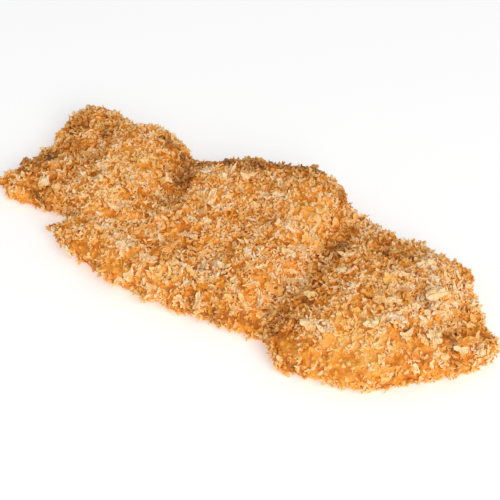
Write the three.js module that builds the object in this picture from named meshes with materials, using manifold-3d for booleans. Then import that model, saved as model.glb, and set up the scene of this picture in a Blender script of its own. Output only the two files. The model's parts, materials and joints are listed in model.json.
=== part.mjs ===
// A breaded chicken fillet, fried whole: one thick, craggy piece that lies flat.
//
// Millimetres, +Z up. The fillet's length runs along X and its underside lies on z = 0, with
// the origin under the middle of its bounding box. The body is a slab with a rounded rim,
// raised by humps, cut by creases and roughened by crags, and flakes of crumb are fused to it.
import * as THREE from 'three';
import Module from 'manifold-3d';
import { mergeVertices } from 'three/addons/utils/BufferGeometryUtils.js';

// ---- Driving dimensions -----------------------------------------------------------------

const RIM_RADIUS = 5.2; // rounding of the rim, above and below
const RIM_HEIGHT = 10.5; // thickness of the fillet at its rim
const CROWN_HEIGHT = 13.8; // thickness inside the rim, before humps and creases
const CROWN_RUN = 15; // distance from the rim over which the thickness grows
const LEAST_HEIGHT = 8; // no crease or pit leaves the fillet thinner than this
const HUMP_RUN = [-8, 6.8]; // distances from the rim at which the humps start and are full
const NET_STEP = 3.6; // size of the facets
const NET_MARGIN = 9; // room round the outline for the crags
const SETTLED_DEPTH = 0.1; // how deep a lattice corner lies once it is taken into the body

const CRAG_SIZES = [
  { wavelength: 12, height: 1.3 },
  { wavelength: 6.5, height: 1.0 },
];
const CRAG_FADE = [2, 4.5]; // heights above the underside at which the crags start and are full

const FLAKES = {
  count: 105,
  spacing: 9, // least distance between two flakes
  tries: 6300, // draws made before the remaining flakes are given up
  length: [4.5, 8],
  width: [2.8, 5],
  thickness: [2.2, 3.4],
  taper: [0.25, 0.8], // size of a flake's outer face beside its inner one
  tilt: [4, 34], // degrees between a flake and the crust
  jitter: 0.34, // unevenness of a flake's corners
  lift: 0.1, // height of a flake's middle above the crust
  lowest: 3.4, // no flake's middle sits lower than this
  clearance: 0.5, // least height of a flake's lowest corner above the underside
};

const SEED = 20;

const MATERIAL = { color: 0xd29757, roughness: 0.72, metalness: 0 };

// The rim seen from above, from the left tip round by the near side to the right tip.
const NEAR_SIDE = [
  [-104.6, -4.5], // left tip
  [-98, -13.4],
  [-84, -12.6],
  [-65.5, -14.8], // bottom of the notch
  [-69.6, -21], // knob below the notch
  [-65, -27.2],
  [-45, -34.8],
  [-20, -38.4],
  [12, -38],
  [25.5, -38], // where the right lobe starts
  [28.6, -41.6],
  [34, -47.6], // near corner of the right lobe
  [50, -46],
  [63, -45],
  [79, -32.4],
  [92.5, -18.6],
];
// The rim from the right tip round by the far side to the left tip.
const FAR_SIDE = [
  [98.4, -6.4], // right tip
  [91.4, 1.6],
  [81.5, 12],
  [75, 25.6],
  [61, 28.4],
  [47, 31],
  [34, 34.6], // where the third crease runs out
  [21, 41],
  [4, 50.6],
  [-15, 46],
  [-27, 43],
  [-38, 37], // where the first crease runs out
  [-52, 42.4],
  [-65, 47],
  [-78, 46],
  [-87, 50], // ear at the far left
  [-98.6, 45.8],
  [-103, 37.4],
  [-100.6, 26],
  [-101, 11],
];
const RIM_DIVISIONS = 260;

// Humps of the top: middle, half lengths along X and Y, turn in degrees, and rise.
const HUMPS = [
  { name: 'ear', at: [-88, 38], reach: [11, 12], turn: 20, rise: 1 },
  { name: 'left lobe', at: [-98, 8], reach: [21, 27], turn: 0, rise: -4.4 },
  { name: 'first', at: [-59, 16], reach: [17, 31], turn: 4, rise: 3.8 },
  { name: 'second', at: [-19, 20], reach: [15, 30], turn: -8, rise: 3.4 },
  { name: 'near slope', at: [-32, -20], reach: [26, 11], turn: -6, rise: -1 },
  { name: 'third', at: [11, 10], reach: [15, 42], turn: 4, rise: 4.8 },
  { name: 'right lobe', at: [57, -14], reach: [25, 24], turn: -25, rise: 5 },
  { name: 'far shoulder', at: [44, 20], reach: [13, 10], turn: -20, rise: -2.4 },
  { name: 'right end', at: [88, -6], reach: [12, 12], turn: 0, rise: -2 },
];

// Creases of the top: the line that each follows, its half width and its depth.
const CREASES = [
  { name: 'left', path: [[-79, 26], [-76, 10], [-74, -6]], width: 6, depth: 1.2 },
  { name: 'notch', path: [[-72, -16], [-60, -17], [-48, -17]], width: 4.4, depth: 2.4 },
  { name: 'first', path: [[-41, 42], [-38, 18], [-37, 6]], width: 6, depth: 4.6 },
  { name: 'second', path: [[-10, 42], [2.5, 6], [-3, -21], [7, -36]], width: 5, depth: 0.8 },
  { name: 'third', path: [[27, 38], [25.5, 5], [22, -24], [21, -42]], width: 7, depth: 5.2 },
];

// Pits: middle, radius and depth.
const PITS = [
  { at: [3, 6], radius: 5, depth: 1.4 },
  { at: [65, -6], radius: 3.6, depth: 2.6 },
  { at: [71, -20], radius: 3.6, depth: 2.2 },
  { at: [81, -7], radius: 4.2, depth: 3 },
];

// ---- Random numbers and crag noise ------------------------------------------------------

function randomFrom(seed) {
  let state = seed >>> 0;
  return () => {
    state = (state + 0x6d2b79f5) >>> 0;
    let mixed = Math.imul(state ^ (state >>> 15), state | 1);
    mixed ^= mixed + Math.imul(mixed ^ (mixed >>> 7), mixed | 61);
    return ((mixed ^ (mixed >>> 14)) >>> 0) / 4294967296;
  };
}

function between([low, high], random) {
  return low + (high - low) * random();
}

// A fixed random value from -1 to 1 for each point of a whole-number lattice.
function latticeValue(x, y, z) {
  let hash = Math.imul(x, 374761393) + Math.imul(y, 668265263) + Math.imul(z, 2147483647);
  hash = Math.imul(hash ^ (hash >>> 13) ^ SEED, 1274126177);
  return ((hash ^ (hash >>> 16)) >>> 0) / 2147483648 - 1;
}

// Smooth noise from -1 to 1 with bumps about one unit apart.
function smoothNoise(x, y, z) {
  const corner = [x, y, z].map(Math.floor);
  const [u, v, w] = [x, y, z].map((value, axis) => {
    return THREE.MathUtils.smootherstep(value - corner[axis], 0, 1);
  });
  let sum = 0;
  for (const i of [0, 1]) {
    for (const j of [0, 1]) {
      for (const k of [0, 1]) {
        const weight = (i ? u : 1 - u) * (j ? v : 1 - v) * (k ? w : 1 - w);
        sum += weight * latticeValue(corner[0] + i, corner[1] + j, corner[2] + k);
      }
    }
  }
  return sum;
}

// How far the crags push the crust out at a point.
function cragAt(x, y, z) {
  const fade = THREE.MathUtils.smoothstep(z, ...CRAG_FADE);
  return fade * CRAG_SIZES.reduce((sum, { wavelength, height }) => {
    const half = wavelength / 2;
    return sum + height * smoothNoise(x / half, y / half, z / half);
  }, 0);
}

// ---- Outline ----------------------------------------------------------------------------

function rimLine() {
  const points = [...NEAR_SIDE, ...FAR_SIDE].map(([x, y]) => new THREE.Vector3(x, y, 0));
  return new THREE.CatmullRomCurve3(points, true, 'centripetal').getSpacedPoints(RIM_DIVISIONS);
}

function distanceToSegment(x, y, ax, ay, bx, by) {
  const along = ((x - ax) * (bx - ax) + (y - ay) * (by - ay)) / ((bx - ax) ** 2 + (by - ay) ** 2);
  const t = THREE.MathUtils.clamp(along, 0, 1);
  return Math.hypot(x - ax - t * (bx - ax), y - ay - t * (by - ay));
}

// Distance from the rim, positive inside it.
function insetAt(rim, x, y) {
  let nearest = Infinity;
  let inside = false;
  for (let i = 0; i < rim.length - 1; i += 1) {
    const [a, b] = [rim[i], rim[i + 1]];
    nearest = Math.min(nearest, distanceToSegment(x, y, a.x, a.y, b.x, b.y));
    const crosses = a.y > y !== b.y > y;
    if (crosses && x < a.x + ((y - a.y) * (b.x - a.x)) / (b.y - a.y)) inside = !inside;
  }
  return inside ? nearest : -nearest;
}

// ---- Height of the top ------------------------------------------------------------------

function humpAt({ at, reach, turn, rise }, x, y) {
  const angle = THREE.MathUtils.degToRad(turn);
  const [dx, dy] = [x - at[0], y - at[1]];
  const along = (dx * Math.cos(angle) + dy * Math.sin(angle)) / reach[0];
  const across = (dy * Math.cos(angle) - dx * Math.sin(angle)) / reach[1];
  return rise * Math.exp(-(Math.hypot(along, across) ** 3));
}

function creaseAt({ path, width, depth }, x, y) {
  let nearest = Infinity;
  for (let i = 0; i < path.length - 1; i += 1) {
    nearest = Math.min(nearest, distanceToSegment(x, y, ...path[i], ...path[i + 1]));
  }
  return depth * Math.exp(-((nearest / width) ** 2));
}

function pitAt({ at, radius, depth }, x, y) {
  const distance = Math.hypot(x - at[0], y - at[1]);
  return depth * Math.exp(-((distance / radius) ** 2));
}

function topAt(inset, x, y) {
  const grown = THREE.MathUtils.smoothstep(inset, 0, CROWN_RUN);
  const crown = THREE.MathUtils.lerp(RIM_HEIGHT, CROWN_HEIGHT, grown);
  const shoulder = THREE.MathUtils.smoothstep(inset, ...HUMP_RUN);
  const humps = HUMPS.reduce((sum, hump) => sum + humpAt(hump, x, y), 0);
  const creases = CREASES.reduce((sum, crease) => sum + creaseAt(crease, x, y), 0);
  const pits = PITS.reduce((sum, pit) => sum + pitAt(pit, x, y), 0);
  return Math.max(crown + humps * shoulder - creases - pits, LEAST_HEIGHT);
}

// ---- Body -------------------------------------------------------------------------------

// Negative inside a slab of the given height whose rim is rounded above and below.
function roundedSlab(inset, z, height) {
  const radius = Math.min(RIM_RADIUS, height / 2);
  const outward = radius - inset;
  const upward = Math.abs(z - height / 2) - (height / 2 - radius);
  const outside = Math.hypot(Math.max(outward, 0), Math.max(upward, 0));
  return outside + Math.min(Math.max(outward, upward), 0) - radius;
}

// Samples the body on a lattice. Its layers lie half a step off z = 0, and the crags start above
// the first of them, so the underside crosses the lattice halfway between two layers and is flat.
function sampleBody() {
  const rim = rimLine();
  const box = new THREE.Box3().setFromPoints(rim).expandByScalar(NET_MARGIN);
  const bottom = -1.5 * NET_STEP;
  const top = 2 * CROWN_HEIGHT;
  const counts = [
    Math.ceil((box.max.x - box.min.x) / NET_STEP) + 1,
    Math.ceil((box.max.y - box.min.y) / NET_STEP) + 1,
    Math.ceil((top - bottom) / NET_STEP) + 1,
  ];
  const origin = [box.min.x, box.min.y, bottom];
  const values = new Float64Array(counts[0] * counts[1] * counts[2]);
  for (let j = 0; j < counts[1]; j += 1) {
    for (let i = 0; i < counts[0]; i += 1) {
      const [x, y] = [origin[0] + i * NET_STEP, origin[1] + j * NET_STEP];
      const inset = insetAt(rim, x, y);
      const height = topAt(inset, x, y);
      for (let k = 0; k < counts[2]; k += 1) {
        const z = origin[2] + k * NET_STEP;
        values[i + counts[0] * (j + counts[1] * k)] = roundedSlab(inset, z, height) - cragAt(x, y, z);
      }
    }
  }
  settleSquares({ counts, values });
  return { origin, counts, values };
}

// Where the signs round a lattice square alternate, the net would meet itself along an edge, so
// the weaker of its two outer corners is taken into the body.
function settleSquares({ counts, values }) {
  const strides = [1, counts[0], counts[0] * counts[1]];
  const last = values.length - strides[2] - strides[1] - 1;
  let changed = true;
  while (changed) {
    changed = false;
    for (let start = 0; start < last; start += 1) {
      for (const [u, v] of [[0, 1], [1, 2], [2, 0]]) {
        const [su, sv] = [strides[u], strides[v]];
        const square = [start, start + su, start + su + sv, start + sv];
        const inner = square.map((corner) => values[corner] < 0);
        const alternates = inner[0] === inner[2] && inner[1] === inner[3] && inner[0] !== inner[1];
        if (!alternates) continue;
        const [a, b] = square.filter((corner) => values[corner] >= 0);
        values[values[a] < values[b] ? a : b] = -SETTLED_DEPTH;
        changed = true;
      }
    }
  }
}

// The middle of the points where the surface crosses a lattice cell's edges.
function cellCorner({ origin, values }, strides, cell) {
  const base = cell.reduce((sum, value, axis) => sum + value * strides[axis], 0);
  const sum = [0, 0, 0];
  let crossings = 0;
  for (let axis = 0; axis < 3; axis += 1) {
    const [u, v] = [(axis + 1) % 3, (axis + 2) % 3];
    for (const [du, dv] of [[0, 0], [1, 0], [0, 1], [1, 1]]) {
      const start = base + du * strides[u] + dv * strides[v];
      const [a, b] = [values[start], values[start + strides[axis]]];
      if (a < 0 === b < 0) continue;
      sum[u] += du;
      sum[v] += dv;
      sum[axis] += a / (a - b);
      crossings += 1;
    }
  }
  const place = sum.map((value, axis) => origin[axis] + (cell[axis] + value / crossings) * NET_STEP);
  place[2] = Math.max(place[2], 0);
  return new THREE.Vector3(...place);
}

// The four cells round a lattice edge, in turn about its axis.
function cellsRound(at, axis) {
  const [u, v] = [(axis + 1) % 3, (axis + 2) % 3];
  return [[-1, -1], [0, -1], [0, 0], [-1, 0]].map(([du, dv]) => {
    const cell = [...at];
    cell[u] += du;
    cell[v] += dv;
    return cell;
  });
}

// Surface net: one corner in each cell that the surface crosses, one quad on each crossed edge.
function surfaceNet(lattice) {
  const { counts, values } = lattice;
  const strides = [1, counts[0], counts[0] * counts[1]];
  const numbers = new Map();
  const corners = [];
  const index = [];

  function numberOf(cell) {
    const key = cell.join();
    if (!numbers.has(key)) {
      numbers.set(key, corners.length);
      corners.push(cellCorner(lattice, strides, cell));
    }
    return numbers.get(key);
  }

  function addQuad(at, axis, leaves) {
    const around = cellsRound(at, axis).map(numberOf);
    if (!leaves) around.reverse();
    const [a, b, c, d] = around;
    const shorter = corners[a].distanceTo(corners[c]) <= corners[b].distanceTo(corners[d]);
    index.push(...(shorter ? [a, b, c, a, c, d] : [a, b, d, b, c, d]));
  }

  for (let k = 1; k < counts[2] - 1; k += 1) {
    for (let j = 1; j < counts[1] - 1; j += 1) {
      for (let i = 1; i < counts[0] - 1; i += 1) {
        const start = i + j * strides[1] + k * strides[2];
        const inside = values[start] < 0;
        for (let axis = 0; axis < 3; axis += 1) {
          if (inside !== values[start + strides[axis]] < 0) addQuad([i, j, k], axis, inside);
        }
      }
    }
  }
  return new THREE.BufferGeometry().setFromPoints(corners).setIndex(index);
}

// ---- Flakes -----------------------------------------------------------------------------

// Places on the crust for the flakes, spread by a least distance and drawn by facet area.
function flakePlaces(geometry, random) {
  const position = geometry.getAttribute('position');
  const index = geometry.getIndex();
  const facets = [];
  let total = 0;
  for (let t = 0; t < index.count; t += 3) {
    const corners = [0, 1, 2].map((c) => {
      return new THREE.Vector3().fromBufferAttribute(position, index.getX(t + c));
    });
    const facet = new THREE.Triangle(...corners);
    const middle = facet.getMidpoint(new THREE.Vector3());
    if (middle.z < FLAKES.lowest) continue;
    total += facet.getArea();
    facets.push({ middle, normal: facet.getNormal(new THREE.Vector3()), reached: total });
  }
  const places = [];
  for (let tries = 0; places.length < FLAKES.count && tries < FLAKES.tries; tries += 1) {
    const draw = random() * total;
    const facet = facets.find(({ reached }) => reached >= draw);
    const crowded = places.some(({ middle }) => middle.distanceTo(facet.middle) < FLAKES.spacing);
    if (!crowded) places.push(facet);
  }
  return places;
}

// One flake: an uneven, eight-cornered crumb that leans on the crust and narrows outwards. One that
// would reach below the underside is raised clear of it.
function flakeGeometry({ middle, normal }, random) {
  const geometry = new THREE.BoxGeometry(1, 1, 1);
  geometry.deleteAttribute('normal');
  geometry.deleteAttribute('uv');
  const flake = mergeVertices(geometry);
  const position = flake.getAttribute('position');
  const taper = between(FLAKES.taper, random);
  for (let i = 0; i < position.count; i += 1) {
    const spread = position.getZ(i) > 0 ? taper : 1;
    const corner = [position.getX(i) * spread, position.getY(i) * spread, position.getZ(i)];
    position.setXYZ(i, ...corner.map((value) => value * (1 + FLAKES.jitter * (2 * random() - 1))));
  }
  const size = [FLAKES.length, FLAKES.width, FLAKES.thickness].map((range) => between(range, random));
  const tilt = THREE.MathUtils.degToRad(between(FLAKES.tilt, random));
  const spin = 2 * Math.PI * random();
  const upright = new THREE.Quaternion().setFromUnitVectors(new THREE.Vector3(0, 0, 1), normal);
  const place = middle.clone().addScaledVector(normal, FLAKES.lift);
  flake.applyMatrix4(new THREE.Matrix4().makeScale(...size));
  flake.applyMatrix4(new THREE.Matrix4().makeRotationY(tilt));
  flake.applyMatrix4(new THREE.Matrix4().makeRotationZ(spin));
  flake.applyMatrix4(new THREE.Matrix4().makeRotationFromQuaternion(upright));
  flake.applyMatrix4(new THREE.Matrix4().makeTranslation(place));
  flake.computeBoundingBox();
  flake.translate(0, 0, Math.max(FLAKES.clearance - flake.boundingBox.min.z, 0));
  return flake;
}

// ---- Joining ----------------------------------------------------------------------------

const wasm = await Module();
wasm.setup();

function solidOf(geometry) {
  const vertProperties = new Float32Array(geometry.getAttribute('position').array);
  const triVerts = new Uint32Array(geometry.getIndex().array);
  return new wasm.Manifold(new wasm.Mesh({ numProp: 3, vertProperties, triVerts }));
}

function geometryOf(solid) {
  const mesh = solid.getMesh();
  const geometry = new THREE.BufferGeometry();
  geometry.setAttribute('position', new THREE.BufferAttribute(new Float32Array(mesh.vertProperties), 3));
  geometry.setIndex(new THREE.BufferAttribute(new Uint32Array(mesh.triVerts), 1));
  return geometry;
}

// The outer body alone, without scraps or sealed hollows.
function largestPiece(solid) {
  return solid.decompose().reduce((best, piece) => (piece.volume() > best.volume() ? piece : best));
}

function filletGeometry() {
  const random = randomFrom(SEED);
  const body = surfaceNet(sampleBody());
  let solid = largestPiece(solidOf(body));
  for (const place of flakePlaces(body, random)) {
    solid = solid.add(solidOf(flakeGeometry(place, random)));
  }
  const geometry = geometryOf(largestPiece(solid));
  geometry.computeBoundingBox();
  const { min, max } = geometry.boundingBox;
  geometry.translate(-(min.x + max.x) / 2, -(min.y + max.y) / 2, -min.z);
  return geometry;
}

const fillet = new THREE.Mesh(filletGeometry(), new THREE.MeshStandardMaterial(MATERIAL));
fillet.name = 'fried_chicken_fillet';
fillet.geometry.computeVertexNormals();

const group = new THREE.Group();
group.add(fillet);

export default group;
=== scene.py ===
"""A breaded chicken fillet, fried whole: its crust, its crumbs, the floor, the lamps and the camera.

Metres, +Z up. The crust is the solid's own surface, made even, roughened and stained, with painted shade
in its hollows, creases and far side and painted light on its humps. Crumbs are then spread over it, each
kind as one piece, and a few large flakes are laid where they belong.
"""
import json
import math
import random

import bmesh
import bpy
from mathutils import Euler, Matrix, Vector
from mathutils.bvhtree import BVHTree

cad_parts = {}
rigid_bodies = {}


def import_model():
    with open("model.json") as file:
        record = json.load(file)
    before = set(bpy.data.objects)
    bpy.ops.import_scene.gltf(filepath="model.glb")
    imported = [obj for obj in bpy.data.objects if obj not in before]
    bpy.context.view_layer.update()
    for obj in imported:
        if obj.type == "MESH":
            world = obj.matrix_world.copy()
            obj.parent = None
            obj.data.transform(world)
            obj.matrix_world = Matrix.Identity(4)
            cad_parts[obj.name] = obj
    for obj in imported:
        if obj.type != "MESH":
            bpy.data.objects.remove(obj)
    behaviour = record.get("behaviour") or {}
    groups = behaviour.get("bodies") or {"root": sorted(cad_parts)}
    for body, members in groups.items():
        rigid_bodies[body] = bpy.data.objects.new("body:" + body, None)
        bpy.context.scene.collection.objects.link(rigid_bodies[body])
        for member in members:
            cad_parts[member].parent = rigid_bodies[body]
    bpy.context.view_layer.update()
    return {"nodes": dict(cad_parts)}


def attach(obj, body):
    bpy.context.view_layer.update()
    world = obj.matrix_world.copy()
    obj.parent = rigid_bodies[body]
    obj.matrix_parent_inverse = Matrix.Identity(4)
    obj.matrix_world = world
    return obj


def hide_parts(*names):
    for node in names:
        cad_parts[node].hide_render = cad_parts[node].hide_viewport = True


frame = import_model()

# ---- Sizes and places ---------------------------------------------------------------------------

MM = 0.001
NODE = "fried_chicken_fillet"
BODY = "root"

MERGE = 0.01 * MM  # corners closer than this are one corner
CRUST_FACE = 0.66 * MM  # size of the crust's faces
CRUST = {
    "Inset": 0.8 * MM,  # how far it lies inside the solid, which reaches to the crumbs' tips
    "Swell height": 1.2 * MM,
    "Swell length": 6.5 * MM,
    "Knob height": 1.2 * MM,
    "Knob length": 3.0 * MM,
    "Grain height": 0.6 * MM,
    "Grain length": 1.3 * MM,
    "Smoothing": 4,
}
KNOB_LEVEL = 0.45  # a knob rises nearer to its middle than this share of the knob length
BARE_SMOOTHER = -0.35  # what bare crust adds to its roughness

# Each pair says where something starts and where it is full.
CREST = (-0.8 * MM, 0.7 * MM)  # how far the crust rises
RIM = (2.8 * MM, 0.5 * MM)  # how high over the floor it lies
FAR_SIDE = (0.3, 0.85)  # how far it faces +Y, away from the key lamp; there it is painted browner and greyer as shade
ABOVE = (-0.6, -0.1)  # how far it faces up
UNDER_COVER = 0.3  # the share of crumbs that is left on what faces down

# Zones of the crust seen from above: middle and reach in mm, and how strong the zone is.
LIT_GOLDEN = (  # on the humps: less crumbed and oilier, and paler and yellower partly as painted light where the humps face the key lamp
    ((-52, 12), 15, 0.9), ((-54, -10), 10, 0.8), ((-21, 10), 14, 0.6), ((21, 15), 15, 0.9),
    ((60, -35), 15, 1.0), ((52, -27), 10, 0.8), ((60, -4), 9, 1.0), ((85, -23), 6, 0.6),
    ((-12, -34), 8, 0.8),
)
BARE = (  # deep orange with few crumbs
    ((-46, -33), 8, 0.95), ((-31, -37), 6, 0.8), ((20, -35), 6, 0.3),
    ((-85, -11), 6, 0.8), ((91, -9), 9, 0.9), ((41, -43), 8, 0.8), ((57, -46), 11, 0.8),
    ((76, -28), 7, 1.0), ((78, -38), 8, 0.7), ((-62, 24), 7, 0.6), ((10, 26), 6, 0.5),
    ((17, 16), 4, 0.6),
)
SHADE_SPOTS = (  # painted shade: grey-brown in the creases, along the far rim and on shaded stretches of the near rim
    ((-36, 16), 10, 1.0), ((-41, 15), 7, 0.7), ((-29, 0), 7, 0.5), ((37, -11), 9, 0.5),
    ((36, -26), 9, 0.7), ((35, 6), 10, 0.8), ((30, 20), 8, 0.8), ((35, -33), 7, 0.8),
    ((-93, 1), 8, 1.0), ((-92, 10), 8, 1.1), ((-89, 27), 7, 0.7), ((56, 13), 8, 0.7),
    ((-24, 32), 9, 0.9), ((-12, 33), 8, 0.9), ((-5, 39), 9, 1.0), ((8, 42), 8, 0.9),
    ((33, -39), 6, 0.7), ((-37, 30), 8, 1.0), ((-74, 8), 8, 0.4), ((88, -20), 6, 1.0),
    ((87, -14), 4, 0.7), ((1, -40), 5, 0.8), ((11, -39), 5, 0.8), ((-79, -14), 6, 0.7),
    ((-84, 18), 8, 0.8), ((-77, 30), 7, 0.6), ((-48, 32), 7, 0.7), ((-98, 4), 7, 1.0),
    ((22, 34), 7, 0.8), ((45, 20), 7, 0.8), ((-60, -27), 6, 0.5),
)
PALE = (  # cream crumbs, thick
    ((76, -5), 7, 0.8), ((67, 9), 6, 0.7), ((83, -21), 5, 0.7), ((65, -16), 5, 0.6),
    ((81, 6), 9, 0.8), ((4, -39), 7, 0.7), ((22, -29), 5, 0.5),
    ((24, 6), 5, 0.5), ((44, -35), 5, 0.6), ((96, -15), 6, 0.8), ((-54, -10), 8, 0.5),
    ((-42, -20), 9, 0.5),
)
FLAKY = (  # strewn with larger flakes
    ((75, -8), 26, 1.0), ((24, -10), 30, 0.35), ((-14, -20), 30, 0.3),
)
ZONE_EDGE = (1.15, 0.25)  # the shares of its reach where a zone starts and where it is full
ZONE_WANDER = 12.0 * MM  # its edge wanders by up to half of this
ZONE_WAVES = 140.0  # waves of that wandering in a metre

# Crumbs lie in patches, thicker where the crust rises.
PATCH_LENGTH = 4 * MM
PATCH_RISE = 0.3 / MM  # what a rise in the crust adds to the noise of the patches
PATCH_EDGE = (-0.35, 0.2)  # the values of that noise where a patch starts and where it is full

# How brown the crust is, from 0 for pale to 1 for grey-brown: a start, and what each thing adds. The
# shade spots and the far side add painted shade, and the golden humps take some away as painted light.
TOAST_START = 0.34
TOAST = {
    "broad stains": 0.25, "small stains": 0.38, "rim": -0.25, "lit_golden": -0.38, "bare": 0.06,
    "shade_spots": 0.48, "far side": 0.18, "pale": -0.2,
}
BROAD_STAINS = 14 * MM
SMALL_STAINS = 5 * MM

# How dry the crumbs are, from 0 to 1.
DRY_START = 0.2
DRY_PATCH = 0.85
DRY_OILY = -0.65  # what oil adds to its share
DRY_SHADE_AND_PALE = 0.85  # the painted-shade spots, the far side and the pale zones are at least this dry, so that crumb tips in the painted shade turn grey

# How thick crumbs lie, from 0 to 1: a start, and what each thing adds.
COVER_START = 0.15
COVER_PATCH = 0.85
COVER_DRIFT = 0.3
DRIFT_LENGTH = 9 * MM
COVER_BARE = -0.6
COVER_GOLDEN = -0.15
COVER_THICK = 0.4  # where it is pale, and on the rim
FINE_BARE = -0.15  # fine crumbs lie on bare crust as well
FINE_LEAST = 0.35
TORN = (0.5, 0.6)  # the share of torn crumbs, and what a flaky zone adds to it
BROAD_FLAKES = (0.12, 0.9)  # how thick broad flakes lie, and what a flaky zone adds to it

# Single flakes that stand out: middle in mm, length, width, and heading in degrees from +X.
LARGE_FLAKES = (
    ((-1, -25), 6.6, 2.4, 67), ((6.5, -24), 4.4, 3.6, 100), ((-11.6, 23), 5.4, 1.9, 118),
    ((5.5, 18), 5.6, 2.0, 116), ((22, -29), 7.2, 2.2, 76), ((3, -38), 6.8, 2.4, 85),
    ((23.6, 6.3), 7.0, 2.6, 19), ((75.6, -5.3), 7.2, 5.2, 118), ((66.8, 9), 5.6, 4.8, 30),
    ((82.8, -21.5), 5.6, 4.4, 10), ((65.2, -16), 4.2, 4.0, 60), ((61.4, -1.3), 5.6, 3.0, 110),
    ((65.6, -23.5), 4.2, 3.6, 0), ((63.7, -29.5), 4.6, 3.6, 120), ((44, -35.2), 5.2, 4.2, 20),
    ((96.5, -14.9), 5.0, 3.6, 40), ((90, -20), 5.0, 4.0, 100), ((41.4, 1.5), 6.4, 2.0, 69),
    ((34, 0.5), 5.4, 1.9, 118), ((78, -12), 6.0, 2.6, 70),
)
LARGE_DEPTH = 1.3 * MM
LARGE_LIFT = 1.4 * MM  # off the crust, over the small crumbs
LARGE_POINTS = 22  # round the torn edge of one
LARGE_UPRIGHT = 1.5  # above 0, one lies more level than the crust below it
LARGE_STRAY = (8, 16)  # how far its heading and its lean stray, in degrees
RAY_START = 0.1  # a height above the fillet, to look down from
LARGE_TOAST = (0.16, 0.14)  # its least brown, and how much browner chance makes it
LARGE_DRY = (0.25, 0.5)  # how dry it is on the crust, and what each mm off it adds

# ---- Colours ------------------------------------------------------------------------------------


def paint(red, green, blue):
    """A screen colour of 0 to 255 as the linear colour that a shader takes."""
    steps = [value / 255 for value in (red, green, blue)]
    return (*(s / 12.92 if s <= 0.04045 else ((s + 0.055) / 1.055) ** 2.4 for s in steps), 1.0)


# Each row runs from pale through gold, orange and brown to a grey-brown, which mostly serves as painted
# shade in the shade spots and on the far side.
CRUMB_TIPS = (
    (0.0, paint(253, 229, 196)),
    (0.18, paint(251, 219, 172)),
    (0.36, paint(246, 208, 144)),
    (0.52, paint(238, 188, 112)),
    (0.68, paint(212, 152, 82)),
    (0.82, paint(186, 146, 103)),
    (1.0, paint(163, 139, 114)),
)
CRUMB_ROOTS = (
    (0.0, paint(253, 201, 112)),
    (0.3, paint(247, 174, 64)),
    (0.6, paint(217, 133, 30)),
    (0.8, paint(180, 108, 38)),
    (1.0, paint(145, 102, 62)),
)
CRUST_STAINS = (
    (0.0, paint(254, 191, 96)),
    (0.25, paint(250, 167, 58)),
    (0.5, paint(232, 140, 31)),
    (0.7, paint(200, 110, 12)),
    (0.85, paint(169, 94, 20)),
    (1.0, paint(136, 92, 48)),
)
FLOOR_COLOUR = paint(247, 247, 247)

# ---- Node trees ---------------------------------------------------------------------------------


class Tree:
    """A node tree that is written as nested calls."""

    def __init__(self, tree):
        self.tree = tree

    def add(self, kind, *sources, **settings):
        """Adds a node and feeds its live inputs in order: sockets are joined, and None is skipped."""
        node = self.tree.nodes.new(kind)
        for name, value in settings.items():
            setattr(node, name, value)
        live = [socket for socket in node.inputs if socket.enabled]
        for socket, source in zip(live, sources):
            if isinstance(source, bpy.types.NodeSocket):
                self.tree.links.new(source, socket)
            elif source is not None:
                socket.default_value = source
        return node

    def give(self, kind, *sources, **settings):
        """Adds a node and gives its first live output."""
        node = self.add(kind, *sources, **settings)
        return next(socket for socket in node.outputs if socket.enabled)

    def number(self, operation, *sources, **settings):
        return self.give("ShaderNodeMath", *sources, operation=operation, **settings)

    def vector(self, operation, *sources):
        return self.give("ShaderNodeVectorMath", *sources, operation=operation)

    def more(self, value, factor, source, **settings):
        """The value with factor times the source added."""
        return self.number("MULTIPLY_ADD", source, factor, value, **settings)

    def ease(self, value, start, end, low=0.0, high=1.0):
        """low up to start, high from end, and a smooth change between them."""
        return self.give(
            "ShaderNodeMapRange", value, start, end, low, high, interpolation_type="SMOOTHSTEP"
        )

    def noise(self, place, length, detail=2.0, roughness=0.5):
        """Noise from -1 to 1 whose bumps are about length apart."""
        scale = self.number("DIVIDE", 1.0, length)
        value = self.give("ShaderNodeTexNoise", place, scale, detail, roughness)
        return self.more(-1.0, 2.0, value)

    def ramp(self, value, stops):
        node = self.add("ShaderNodeValToRGB", value)
        elements = node.color_ramp.elements
        for _ in stops[2:]:
            elements.new(0.5)
        for element, (position, colour) in zip(elements, stops):
            element.position, element.color = position, colour
        return node.outputs["Color"]

    def blend(self, share, first, second):
        """Mixes two colours."""
        return self.give("ShaderNodeMix", share, first, second, data_type="RGBA")

    def keep(self, geometry, name, value, kind="FLOAT", domain="POINT"):
        """Stores a value on the geometry under a name."""
        return self.give(
            "GeometryNodeStoreNamedAttribute", geometry, None, name, value, data_type=kind, domain=domain
        )

    def kept(self, name):
        """The value that is stored under a name."""
        return self.give("GeometryNodeInputNamedAttribute", name, data_type="FLOAT")

    def luck(self, seed):
        """Chance, from 0 to 1."""
        return self.give("FunctionNodeRandomValue", 0.0, 1.0, None, seed, data_type="FLOAT")

    def settle(self, geometry):
        """Lifts to the floor whatever lies below it."""
        place = self.give("GeometryNodeInputPosition")
        floor = self.vector("MAXIMUM", place, (-1.0, -1.0, 0.0))
        return self.give("GeometryNodeSetPosition", geometry, None, floor)


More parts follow.
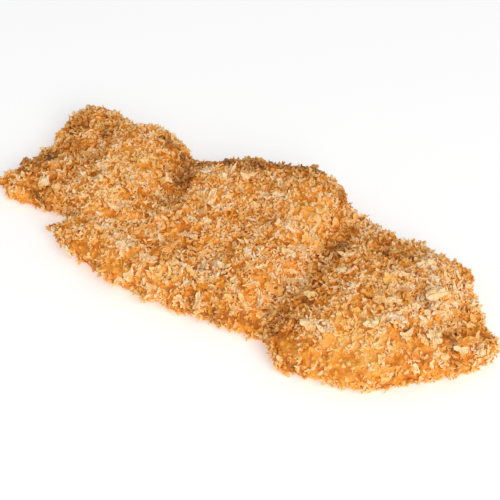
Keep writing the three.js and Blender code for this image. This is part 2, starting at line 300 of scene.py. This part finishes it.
def geometry_tree(name, **inputs):
    """A geometry tree with a mesh in and out and named inputs, with those inputs and its output."""
    tree = bpy.data.node_groups.new(name, "GeometryNodeTree")
    tree.interface.new_socket("Geometry", in_out="OUTPUT", socket_type="NodeSocketGeometry")
    tree.interface.new_socket("Geometry", in_out="INPUT", socket_type="NodeSocketGeometry")
    for label, kind in inputs.items():
        title = label.replace("_", " ")
        tree.interface.new_socket(title, in_out="INPUT", socket_type=f"NodeSocket{kind}")
    given = tree.nodes.new("NodeGroupInput").outputs
    result = tree.nodes.new("NodeGroupOutput").inputs[0]
    return Tree(tree), given, result


def made_by(tree, name, mesh, values, remesh=None):
    """A new object with the mesh that a geometry tree makes of a mesh, evened out first if wanted."""
    piece = bpy.data.objects.new(name, mesh)
    bpy.context.collection.objects.link(piece)
    if remesh:
        even = piece.modifiers.new("even faces", "REMESH")
        even.mode, even.voxel_size = "VOXEL", remesh
    modifier = piece.modifiers.new(tree.name, "NODES")
    modifier.node_group = tree
    for item in tree.interface.items_tree:
        if item.in_out == "INPUT" and item.name in values:
            modifier[item.identifier] = values[item.name]
    shown = piece.evaluated_get(bpy.context.evaluated_depsgraph_get())
    result = bpy.data.meshes.new_from_object(shown)
    piece.modifiers.clear()
    piece.data = result
    result.name = name
    return piece


# ---- Crust --------------------------------------------------------------------------------------


def zone(tree, level, spots):
    """From 0 to 1, how far a place lies in any of these spots."""
    inside = None
    for (x, y), reach, most in spots:
        away = tree.vector("DISTANCE", level, (x * MM, y * MM, 0.0))
        start, full = (share * reach * MM for share in ZONE_EDGE)
        spot = tree.ease(away, start, full, 0.0, most)
        inside = spot if inside is None else tree.number("MAXIMUM", inside, spot)
    return inside


def crust_tree():
    """Smooths the solid's facets away, pulls the surface in and gives it swells, knobs and grain."""
    tree, given, result = geometry_tree(
        "rough crust", Inset="Float", Swell_height="Float", Swell_length="Float",
        Knob_height="Float", Knob_length="Float", Grain_height="Float", Grain_length="Float",
        Smoothing="Int", Finish="Material",
    )
    place = tree.give("GeometryNodeInputPosition")
    normal = tree.give("GeometryNodeInputNormal")
    evened = tree.give(
        "GeometryNodeBlurAttribute", place, given["Smoothing"], data_type="FLOAT_VECTOR"
    )
    shape = tree.give("GeometryNodeSetPosition", given["Geometry"], None, evened)

    # The zones, read at a place that wanders a little, so that their edges are ragged.
    waves = tree.add("ShaderNodeTexNoise", place, ZONE_WAVES, 2.0).outputs["Color"]
    wander = tree.vector("SCALE", tree.vector("SUBTRACT", waves, (0.5,) * 3))
    wander.node.inputs["Scale"].default_value = ZONE_WANDER
    level = tree.vector("MULTIPLY", tree.vector("ADD", place, wander), (1.0, 1.0, 0.0))
    # partly painted light: the humps that face the key lamp turn paler and yellower
    lit_golden = zone(tree, level, LIT_GOLDEN)
    bare = zone(tree, level, BARE)
    # painted shade: grey-brown spots in the creases and along the rims
    shade_spots = zone(tree, level, SHADE_SPOTS)
    pale = zone(tree, level, PALE)
    flaky = zone(tree, level, FLAKY)

    # How far the crust rises.
    swell = tree.noise(place, given["Swell length"])
    knobs = tree.number("DIVIDE", 1.0, given["Knob length"])
    knob = tree.number("SUBTRACT", KNOB_LEVEL, tree.give("ShaderNodeTexVoronoi", place, knobs))
    grain = tree.noise(place, given["Grain length"], 3.0, 0.6)
    rough = tree.number("MULTIPLY", knob, given["Knob height"])
    rough = tree.number("MULTIPLY_ADD", grain, given["Grain height"], rough)
    rough = tree.number("MULTIPLY", rough, tree.more(1.0, BARE_SMOOTHER, bare))
    rise = tree.number("MULTIPLY_ADD", swell, given["Swell height"], rough)
    shape = tree.keep(shape, "crest", tree.ease(rise, *CREST))

    height = tree.add("ShaderNodeSeparateXYZ", place).outputs["Z"]
    rim = tree.ease(height, *RIM)
    facing = tree.add("ShaderNodeSeparateXYZ", normal).outputs
    # painted shade: what faces +Y, away from the key lamp, turns browner and greyer
    far = tree.ease(facing["Y"], *FAR_SIDE)
    patch = tree.more(tree.noise(place, PATCH_LENGTH), PATCH_RISE, rise)
    patch = tree.ease(patch, *PATCH_EDGE)

    # How brown and how dry it is, painted shade and painted light included.
    things = {
        "broad stains": tree.noise(place, BROAD_STAINS), "small stains": tree.noise(place, SMALL_STAINS),
        "rim": rim, "lit_golden": lit_golden, "bare": bare, "shade_spots": shade_spots, "far side": far, "pale": pale,
    }
    toast = TOAST_START
    for name, thing in things.items():
        toast = tree.more(toast, TOAST[name], thing)
    toast.node.use_clamp = True
    shape = tree.keep(shape, "toast", toast)
    oily = tree.number("MAXIMUM", bare, lit_golden)
    shape = tree.keep(shape, "oily", oily)
    dry = tree.more(DRY_START, DRY_PATCH, patch)
    dry = tree.number("MULTIPLY", tree.more(1.0, DRY_OILY, oily), dry)
    # painted shade: crumb tips in the shade spots and on the far side take the grey end of their colours
    shade_and_pale = tree.number("MAXIMUM", tree.number("MAXIMUM", shade_spots, far), pale)
    shade_and_pale = tree.number("MULTIPLY", shade_and_pale, DRY_SHADE_AND_PALE)
    shape = tree.keep(shape, "dry", tree.number("MAXIMUM", dry, shade_and_pale))

    # How thick each sort of crumb lies.
    above = tree.ease(facing["Z"], *ABOVE, UNDER_COVER)
    cover = tree.more(COVER_START, COVER_PATCH, patch)
    cover = tree.more(cover, COVER_DRIFT, tree.noise(place, DRIFT_LENGTH))
    fine = tree.number("MAXIMUM", tree.more(cover, FINE_BARE, bare), FINE_LEAST)
    fine = tree.number("MULTIPLY", fine, above, use_clamp=True)
    shape = tree.keep(shape, "fine cover", fine)
    cover = tree.more(cover, COVER_BARE, bare)
    cover = tree.more(cover, COVER_GOLDEN, lit_golden)
    cover = tree.more(cover, COVER_THICK, tree.number("MAXIMUM", pale, rim))
    cover = tree.number("MULTIPLY", cover, above, use_clamp=True)
    shape = tree.keep(shape, "cover", cover)
    torn = tree.number("MULTIPLY", cover, tree.more(*TORN, flaky), use_clamp=True)
    shape = tree.keep(shape, "torn cover", torn)
    broad = tree.number("MULTIPLY", tree.more(*BROAD_FLAKES, flaky), above, use_clamp=True)
    shape = tree.keep(shape, "flaky", broad)

    lift = tree.vector("SCALE", normal, tree.number("SUBTRACT", rise, given["Inset"]))
    raised = tree.give("GeometryNodeSetPosition", shape, None, None, lift)
    shaded = tree.give("GeometryNodeSetShadeSmooth", tree.settle(raised), None, True)
    finished = tree.give("GeometryNodeSetMaterial", shaded, None, given["Finish"])
    tree.tree.links.new(finished, result)
    return tree.tree


def merged_copy(node):
    """A copy of a CAD node's mesh with its loose triangles joined."""
    mesh = frame["nodes"][node].data.copy()
    shape = bmesh.new()
    shape.from_mesh(mesh)
    bmesh.ops.remove_doubles(shape, verts=shape.verts, dist=MERGE)
    shape.to_mesh(mesh)
    shape.free()
    return mesh


# ---- Crumbs -------------------------------------------------------------------------------------

STRAY = 0.35  # how far a point of a rim strays, as a share of the step to the next
RIM_WAVE = 0.08  # how far a rim of 0.5 swells and shrinks, twice and three times round
TORN_RIM = (0.6, 1.3)  # how far a torn rim's points reach, as a share of its waved outline
EVEN_RIM = (0.75, 1.25)
CURD_KNOBS = 3


def plate(shape, draw, size, points, ragged, place=Matrix()):
    """Adds a crumpled plate with a torn edge, raised in the middle, with its ends bent up."""
    length, width, depth = size
    bend, turn, notch = draw.uniform(0.0, 1.6), draw.uniform(0, math.tau), draw.uniform(0, math.tau)

    def corner(x, y, z):
        height = z + bend * (4 * x * x - 0.3)
        return shape.verts.new(place @ Vector((x * length, y * width, height * depth)))

    rim, ring = [], []
    for step in range(points):
        angle = math.tau * (step + draw.uniform(-STRAY, STRAY)) / points
        twice = RIM_WAVE * math.cos(2 * angle + turn)
        thrice = RIM_WAVE * math.cos(3 * angle + notch)
        reach = draw.uniform(*ragged) * (0.5 + twice + thrice)
        x, y = reach * math.cos(angle), reach * math.sin(angle)
        rim.append(corner(x, y, draw.uniform(-0.3, 0.6)))
        inner = draw.uniform(0.35, 0.6)
        ring.append(corner(x * inner, y * inner, draw.uniform(0.1, 1.2)))
    peak = corner(draw.uniform(-0.1, 0.1), draw.uniform(-0.1, 0.1), draw.uniform(0.2, 1.0))
    root = corner(0.0, 0.0, -0.6)
    for step in range(points):
        after = (step + 1) % points
        shape.faces.new((rim[step], rim[after], ring[step]))
        shape.faces.new((rim[after], ring[after], ring[step]))
        shape.faces.new((ring[step], ring[after], peak))
        shape.faces.new((rim[after], rim[step], root))


def strand(shape, draw, size, stations, curl, start=-0.35, place=Matrix()):
    """Adds a bent sliver along X with a three-cornered section and pointed ends."""
    length, width, depth = size
    side, rise = draw.uniform(-curl, curl), draw.uniform(-0.4, 1.0) * curl

    def spine(along):
        bow = 1 - (2 * along - 1) ** 2
        return Vector(((start + along) * length, side * bow * length, rise * bow * length))

    rings = []
    for step in range(1, stations):
        middle = spine((step + draw.uniform(-0.2, 0.2)) / stations)
        reach = draw.uniform(0.34, 0.66)
        ring = []
        for third in range(3):
            angle = math.tau * (third + draw.uniform(-0.25, 0.25)) / 3
            spread = Vector((0.0, reach * width * math.cos(angle), reach * depth * math.sin(angle)))
            ring.append(shape.verts.new(place @ (middle + spread)))
        rings.append(ring)
    left, right = (shape.verts.new(place @ spine(along)) for along in (0.0, 1.0))
    faces = []
    for third in range(3):
        after = (third + 1) % 3
        faces.append((left, rings[0][after], rings[0][third]))
        faces.append((right, rings[-1][third], rings[-1][after]))
        for near, far in zip(rings, rings[1:]):
            faces.append((near[third], near[after], far[third]))
            faces.append((near[after], far[after], far[third]))
    for corners in faces:
        shape.faces.new(corners)


def chip(shape, draw, size, lobes, place=Matrix()):
    """Adds a thin crumpled chip whose edge is torn into pointed lobes."""
    length, width, depth = size

    def corner(x, y, z):
        return shape.verts.new(place @ Vector((x * length, y * width, z * depth)))

    rim = []
    for step in range(2 * lobes):
        angle = math.tau * (step + draw.uniform(-STRAY, STRAY)) / (2 * lobes)
        reach = 0.5 * (draw.uniform(0.7, 1.15) if step % 2 else draw.uniform(0.35, 0.7))
        lift = draw.uniform(-0.9, 1.1) if step % 2 else draw.uniform(-0.1, 0.5)
        rim.append(corner(reach * math.cos(angle), reach * math.sin(angle), lift))
    peak = corner(draw.uniform(-0.1, 0.1), draw.uniform(-0.1, 0.1), draw.uniform(0.4, 0.9))
    root = corner(0.0, 0.0, -0.5)
    for step in range(2 * lobes):
        after = (step + 1) % (2 * lobes)
        shape.faces.new((rim[step], rim[after], peak))
        shape.faces.new((rim[after], rim[step], root))


def knob(shape, draw, size, place=Matrix()):
    """Adds a rounded, uneven knob."""
    made = bmesh.ops.create_icosphere(shape, subdivisions=1, radius=0.5)
    for corner in made["verts"]:
        sized = Vector(length * part for length, part in zip(size, corner.co))
        corner.co = place @ (sized * draw.uniform(0.6, 1.25))


def lump_shape(shape, draw):
    knob(shape, draw, (1.0, draw.uniform(0.7, 1.0), 0.75))


def grit_shape(shape, draw):
    strand(shape, draw, (1.0, draw.uniform(0.5, 0.8), draw.uniform(0.4, 0.7)), 3, 0.1, -0.5)


def chip_shape(shape, draw):
    chip(shape, draw, (1.0, draw.uniform(0.7, 1.0), draw.uniform(0.28, 0.46)), 6)


def shred_shape(shape, draw):
    chip(shape, draw, (1.0, draw.uniform(0.36, 0.6), draw.uniform(0.16, 0.28)), 7)


def fuzz_shape(shape, draw):
    strand(shape, draw, (1.0, draw.uniform(0.24, 0.42), draw.uniform(0.2, 0.32)), 3, 0.22, -0.25)


def curl_shape(shape, draw):
    strand(shape, draw, (1.0, draw.uniform(0.2, 0.32), draw.uniform(0.16, 0.26)), 5, 0.2, -0.4)


def sliver_shape(shape, draw):
    strand(shape, draw, (1.0, draw.uniform(0.26, 0.42), draw.uniform(0.12, 0.2)), 6, 0.14, -0.45)


def curd_shape(shape, draw):
    """A few knobs that leave one middle in all directions, as a torn bit of crumb has them."""
    for step in range(CURD_KNOBS):
        heading = math.tau * (step + draw.uniform(-STRAY, STRAY)) / CURD_KNOBS
        turn = Euler((draw.uniform(0, math.tau), -draw.uniform(-0.2, 1.1), heading))
        out = Matrix.Translation((draw.uniform(0.16, 0.28), 0.0, 0.0))
        size = (draw.uniform(0.55, 0.9), draw.uniform(0.24, 0.42), draw.uniform(0.22, 0.34))
        knob(shape, draw, size, turn.to_matrix().to_4x4() @ out)


def flake_shape(shape, draw):
    plate(shape, draw, (1.0, draw.uniform(0.5, 0.8), draw.uniform(0.14, 0.26)), 12, TORN_RIM)


def broad_shape(shape, draw):
    plate(shape, draw, (1.0, draw.uniform(0.55, 0.85), draw.uniform(0.18, 0.3)), 18, EVEN_RIM)


# Each kind: how one is shaped, how far apart they lie, their sizes and their lift off the crust in mm,
# how far they lean in degrees, how much browner than the crust they are, and which value says where
# they lie thick.
KINDS = {
    "crumb_grit": (grit_shape, 1.8, (0.7, 1.6), 0.0, 60, 0.06, "fine cover"),
    "crumb_lumps": (lump_shape, 1.5, (1.2, 2.6), 0.0, 60, 0.0, "fine cover"),
    "crumb_fuzz": (fuzz_shape, 1.7, (1.4, 2.8), 0.1, 62, -0.02, "fine cover"),
    "crumb_curds": (curd_shape, 1.7, (2.2, 4.2), 0.3, 50, -0.12, "cover"),
    "crumb_chips": (chip_shape, 2.2, (1.9, 3.6), 0.35, 64, -0.14, "cover"),
    "crumb_shreds": (shred_shape, 2.6, (2.4, 4.4), 0.4, 60, -0.14, "torn cover"),
    "crumb_curls": (curl_shape, 2.6, (2.2, 4.0), 0.4, 54, -0.12, "torn cover"),
    "crumb_slivers": (sliver_shape, 3.6, (2.6, 5.0), 0.45, 40, -0.16, "torn cover"),
    "crumb_flakes": (flake_shape, 2.9, (2.2, 4.2), 0.45, 44, -0.18, "torn cover"),
    "crumb_broad_flakes": (broad_shape, 3.8, (3.4, 5.8), 0.6, 36, -0.22, "flaky"),
}
VARIANTS = 9
SEED = 31
CROWD = 2.6  # points tried on a square of the spacing
LEAST_TURN = (-1.0, -1.0, -1.0)  # shares of the lean about X and Y, and of half a turn about Z
MOST_TURN = (1.0, 0.25, 1.0)
SIZE_SKEW = 1.6  # above 1, small ones are more usual than large ones
TIP_HEIGHTS = (0.1 * MM, 1.3 * MM)  # off the crust, where a crumb starts to dry and where it is dry
SHADE_DRY = -0.6  # what a crumb's own shade adds to how dry it is
SHADE_TOAST = 0.3  # and to how brown it is
MOTTLE = 0.12  # how far a crumb's brown varies across it
MOTTLE_LENGTH = 1.5 * MM


def variants(name, shape_one, seed):
    """A hidden collection of a few crumbs of one kind, one unit long."""
    kinds = bpy.data.collections.new(name)
    draw = random.Random(seed)
    for number in range(VARIANTS):
        shape = bmesh.new()
        shape_one(shape, draw)
        mesh = bpy.data.meshes.new(f"{name} {number}")
        shape.to_mesh(mesh)
        shape.free()
        kinds.objects.link(bpy.data.objects.new(mesh.name, mesh))
    return kinds


def coloured(tree, crumbs, crust, shade, browner):
    """Keeps on crumbs, as a UV map, how brown each corner is, and how dry: drier where it stands up."""
    place = tree.give("GeometryNodeInputPosition")
    height = tree.add("GeometryNodeProximity", crust).outputs["Distance"]
    shade = tree.number("SUBTRACT", shade, 0.5)
    dry = tree.more(tree.kept("dry"), SHADE_DRY, shade, use_clamp=True)
    dry = tree.number("MULTIPLY", tree.ease(height, *TIP_HEIGHTS), dry)
    # the crust's toast brings its painted shade and painted light along onto the crumbs
    toast = tree.number("ADD", tree.kept("toast"), browner)
    toast = tree.more(toast, SHADE_TOAST, shade)
    toast = tree.more(toast, MOTTLE, tree.noise(place, MOTTLE_LENGTH), use_clamp=True)
    palette = tree.give("ShaderNodeCombineXYZ", toast, dry)
    return tree.keep(crumbs, "OFBake", palette, "FLOAT2", "CORNER")


def crumb_tree():
    """Spreads crumbs over the crust, leans and sizes each, and stains them."""
    tree, given, result = geometry_tree(
        "spread crumbs", Kinds="Collection", Cover="String", Spacing="Float", Least_size="Float",
        Greatest_size="Float", Lift="Float", Lean="Float", Browner="Float", Seed="Int",
        Finish="Material",
    )
    cover = tree.give("GeometryNodeInputNamedAttribute", given["Cover"], data_type="FLOAT")
    crowd = tree.number("DIVIDE", CROWD, tree.number("POWER", given["Spacing"], 2.0))
    spread = tree.add(
        "GeometryNodeDistributePointsOnFaces", given["Geometry"], None, given["Spacing"], crowd, cover,
        given["Seed"], distribute_method="POISSON",
    )
    lift = tree.vector("SCALE", spread.outputs["Normal"], given["Lift"])
    points = tree.give("GeometryNodeSetPosition", spread.outputs["Points"], None, None, lift)

    # Each crumb's turn, size and shade.
    turns = tree.give(
        "FunctionNodeRandomValue", LEAST_TURN, MOST_TURN, None, given["Seed"], data_type="FLOAT_VECTOR"
    )
    reach = tree.give("ShaderNodeCombineXYZ", given["Lean"], given["Lean"], math.pi)
    leaned = tree.give("FunctionNodeEulerToRotation", tree.vector("MULTIPLY", turns, reach))
    rotation = tree.give(
        "FunctionNodeRotateRotation", spread.outputs["Rotation"], leaned, rotation_space="LOCAL"
    )
    luck, shade = (tree.luck(tree.number("ADD", given["Seed"], step)) for step in (1.0, 2.0))
    span = tree.number("SUBTRACT", given["Greatest size"], given["Least size"])
    size = tree.number("POWER", luck, SIZE_SKEW)
    size = tree.number("MULTIPLY_ADD", size, span, given["Least size"])

    kinds = tree.give(
        "GeometryNodeCollectionInfo", given["Kinds"], True, True, transform_space="ORIGINAL"
    )
    crumbs = tree.give(
        "GeometryNodeInstanceOnPoints", points, None, kinds, True, None, rotation, size
    )
    crumbs = tree.keep(crumbs, "shade", shade, domain="INSTANCE")
    crumbs = tree.settle(tree.give("GeometryNodeRealizeInstances", crumbs))
    crumbs = coloured(tree, crumbs, given["Geometry"], tree.kept("shade"), given["Browner"])
    finished = tree.give("GeometryNodeSetMaterial", crumbs, None, given["Finish"])
    tree.tree.links.new(finished, result)
    return tree.tree


def large_flakes(crust, finish):
    """The single flakes that stand out, each laid on the crust below its place."""
    tree = BVHTree.FromObject(crust, bpy.context.evaluated_depsgraph_get())
    draw = random.Random(SEED)
    shape = bmesh.new()
    up = Vector((0.0, 0.0, 1.0))
    heading_stray, lean_stray = LARGE_STRAY
    for (x, y), length, width, heading in LARGE_FLAKES:
        ground, normal, _, _ = tree.ray_cast(Vector((x * MM, y * MM, RAY_START)), -up)
        upright = (normal + LARGE_UPRIGHT * up).to_track_quat("Z", "Y").to_matrix().to_4x4()
        heading += draw.uniform(-heading_stray, heading_stray)
        turn = Matrix.Rotation(math.radians(heading), 4, "Z")
        lean = Matrix.Rotation(math.radians(draw.uniform(-lean_stray, lean_stray)), 4, "X")
        place = Matrix.Translation(ground + LARGE_LIFT * normal) @ upright @ turn @ lean
        size = (length * MM, width * MM, LARGE_DEPTH)
        plate(shape, draw, size, LARGE_POINTS, EVEN_RIM, place)
    mesh = bpy.data.meshes.new("crumb_large_flakes")
    shape.to_mesh(mesh)
    shape.free()
    mesh.materials.append(finish)
    flakes = bpy.data.objects.new(mesh.name, mesh)
    bpy.context.collection.objects.link(flakes)
    colours = mesh.uv_layers.new(name="OFBake")
    for loop in mesh.loops:
        place = mesh.vertices[loop.vertex_index].co
        height = (place - tree.find_nearest(place)[0]).length
        toast = LARGE_TOAST[0] + LARGE_TOAST[1] * draw.random()
        dry = LARGE_DRY[0] + LARGE_DRY[1] * height / MM
        colours.data[loop.index].uv = (toast, min(dry, 1.0))
    return flakes


# ---- Finishes -----------------------------------------------------------------------------------

CRUMB_ROUGHNESS = 0.62
CRUMB_SHINE = 0.3
DRY_ROUGHNESS = 0.62
OILY_ROUGHNESS = 0.36
OILY_EDGE = (-0.2, 0.9)  # from dry to oily crust, on the scale of oil and speckle
SPECKLE_LENGTH = 0.8 * MM
SPECKLE_OIL = 0.5  # what speckle adds to the oil

# How brown the crust's stain is, from 0 to 1: a start, and what each thing adds. Crests take some away,
# so that the hollows are browner as painted shade.
STAIN_START = 0.5
STAIN_CREST_HOLLOW_SHADE = -0.6
STAIN_TOAST = 0.7
STAIN_SPECKLE = 0.45

PIT_STRENGTH = 0.8
PIT_DEPTH = 0.2 * MM
PIT_LENGTH = 0.5 * MM


def new_material(name, colour, roughness):
    """A material whose shader has constant values but for the inputs that are joined later."""
    material = bpy.data.materials.new(name)
    material.use_nodes = True
    shader = material.node_tree.nodes["Principled BSDF"]
    shader.inputs["Base Color"].default_value = colour
    shader.inputs["Roughness"].default_value = roughness
    return material, Tree(material.node_tree), shader


def crumb_material():
    """Dry bread crumb: cream at the tips, gold at the roots, browner where the oil was hotter."""
    material, tree, shader = new_material("dry bread crumb", CRUMB_TIPS[1][1], CRUMB_ROUGHNESS)
    spot = tree.add("ShaderNodeUVMap", uv_map="OFBake")
    toast, dry, _ = tree.add("ShaderNodeSeparateXYZ", spot.outputs["UV"]).outputs
    colour = tree.blend(dry, tree.ramp(toast, CRUMB_ROOTS), tree.ramp(toast, CRUMB_TIPS))
    tree.tree.links.new(colour, shader.inputs["Base Color"])
    shader.inputs["Specular IOR Level"].default_value = CRUMB_SHINE
    return material


def crust_material():
    """Fried batter: orange gold, browner in the hollows as painted shade, glossier where it is bare or
    golden.
    """
    material, tree, shader = new_material("fried batter crust", CRUST_STAINS[1][1], DRY_ROUGHNESS)
    place = tree.add("ShaderNodeTexCoord").outputs["Object"]
    crest, toast, oily = (
        tree.add("ShaderNodeAttribute", attribute_name=name).outputs["Fac"]
        for name in ("crest", "toast", "oily")
    )
    speckle = tree.noise(place, SPECKLE_LENGTH, 3.0, 0.65)
    # painted shade: the crust is browner in its hollows than on its crests
    stain = tree.more(STAIN_START, STAIN_CREST_HOLLOW_SHADE, crest)
    stain = tree.more(stain, STAIN_TOAST, toast)
    stain = tree.more(stain, STAIN_SPECKLE, speckle, use_clamp=True)
    tree.tree.links.new(tree.ramp(stain, CRUST_STAINS), shader.inputs["Base Color"])
    oil = tree.more(oily, SPECKLE_OIL, speckle)
    rough = tree.ease(oil, *OILY_EDGE, DRY_ROUGHNESS, OILY_ROUGHNESS)
    tree.tree.links.new(rough, shader.inputs["Roughness"])
    bump = tree.add("ShaderNodeBump")
    bump.inputs["Strength"].default_value = PIT_STRENGTH
    bump.inputs["Distance"].default_value = PIT_DEPTH
    tree.tree.links.new(tree.noise(place, PIT_LENGTH, 3.0, 0.6), bump.inputs["Height"])
    tree.tree.links.new(bump.outputs["Normal"], shader.inputs["Normal"])
    return material


# ---- Making the fillet --------------------------------------------------------------------------


def make_fillet():
    """Makes the crust in the solid's place, and every kind of crumb on it."""
    values = {**CRUST, "Finish": crust_material()}
    crust = made_by(crust_tree(), "fillet_crust", merged_copy(NODE), values, CRUST_FACE)
    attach(crust, BODY)
    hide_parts(NODE)
    tree, finish = crumb_tree(), crumb_material()
    pieces = [large_flakes(crust, finish)]
    for number, (name, kind) in enumerate(KINDS.items()):
        shape_one, spacing, (least, greatest), lift, lean, browner, cover = kind
        seed = SEED + 10 * number
        kinds = variants(name, shape_one, seed)
        values = {
            "Kinds": kinds, "Cover": cover, "Spacing": spacing * MM, "Least size": least * MM,
            "Greatest size": greatest * MM, "Lift": lift * MM, "Lean": math.radians(lean),
            "Browner": browner, "Seed": seed, "Finish": finish,
        }
        pieces.append(made_by(tree, name, crust.data.copy(), values))
        for item in list(kinds.objects):
            bpy.data.objects.remove(item)
        bpy.data.collections.remove(kinds)
    for crumbs in pieces:
        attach(crumbs, BODY)


# ---- Floor, lamps and camera --------------------------------------------------------------------

FLOOR_SIZE = 6.0
FLOOR_GLOW = 0.3
FLOOR_ROUGHNESS = 0.9
FLOOR_SHINE = 0.1
TARGET = Vector((5.0, -3.9, 8.0)) * MM  # where the camera and the lamps point
CAMERA_AZIMUTH = math.radians(28)
CAMERA_ELEVATION = math.radians(40)
CAMERA_DISTANCE = 0.52
CAMERA_LENS = 104.83  # mm
CAMERA_SENSOR = 36.0  # mm
KEY = {
    "towards": (0.63, -0.54, 0.54), "away": 1.7, "size": 1.3, "power": 21.0,
    "colour": (0.98, 0.98, 0.95),
}
FILL = {
    "towards": (-0.75, -0.45, 0.45), "away": 0.9, "size": 0.8, "power": 0.3,
    "colour": (0.85, 0.93, 1.0),
}
ROOM_LIGHT = 0.42
ROOM_COLOUR = (0.98, 0.99, 1.0, 1.0)


def add_floor():
    """A wide pale floor that glows a little, so that it shows nearly white."""
    shape = bmesh.new()
    bmesh.ops.create_grid(shape, x_segments=1, y_segments=1, size=FLOOR_SIZE / 2)
    mesh = bpy.data.meshes.new("floor")
    shape.to_mesh(mesh)
    shape.free()
    floor = bpy.data.objects.new("floor", mesh)
    bpy.context.collection.objects.link(floor)
    material, _, shader = new_material("pale floor", FLOOR_COLOUR, FLOOR_ROUGHNESS)
    shader.inputs["Specular IOR Level"].default_value = FLOOR_SHINE
    shader.inputs["Emission Color"].default_value = (1.0, 1.0, 1.0, 1.0)
    shader.inputs["Emission Strength"].default_value = FLOOR_GLOW
    mesh.materials.append(material)


def add_lamp(name, towards, away, size, power, colour):
    """A round soft lamp at a distance from the target, facing it."""
    lamp = bpy.data.lights.new(name, "AREA")
    lamp.shape, lamp.size, lamp.energy, lamp.color = "DISK", size, power, colour
    holder = bpy.data.objects.new(name, lamp)
    direction = Vector(towards).normalized()
    holder.location = TARGET + away * direction
    holder.rotation_euler = direction.to_track_quat("Z", "Y").to_euler()
    bpy.context.collection.objects.link(holder)


def add_camera():
    """The camera at the photograph's angle."""
    camera = bpy.data.cameras.new("camera")
    camera.lens, camera.sensor_width, camera.sensor_fit = CAMERA_LENS, CAMERA_SENSOR, "HORIZONTAL"
    camera.clip_start, camera.clip_end = 0.01, 20.0
    holder = bpy.data.objects.new("camera", camera)
    back = Vector((
        math.sin(CAMERA_AZIMUTH) * math.cos(CAMERA_ELEVATION),
        -math.cos(CAMERA_AZIMUTH) * math.cos(CAMERA_ELEVATION),
        math.sin(CAMERA_ELEVATION),
    ))
    holder.location = TARGET + CAMERA_DISTANCE * back
    holder.rotation_euler = back.to_track_quat("Z", "Y").to_euler()
    bpy.context.collection.objects.link(holder)
    bpy.context.scene.camera = holder


def set_room():
    """Even light from all round."""
    world = bpy.data.worlds.new("studio")
    world.use_nodes = True
    background = world.node_tree.nodes["Background"]
    background.inputs["Color"].default_value = ROOM_COLOUR
    background.inputs["Strength"].default_value = ROOM_LIGHT
    bpy.context.scene.world = world
    bpy.context.scene.view_settings.view_transform = "Standard"


make_fillet()
add_floor()
add_lamp("key", **KEY)
add_lamp("fill", **FILL)
add_camera()
set_room()
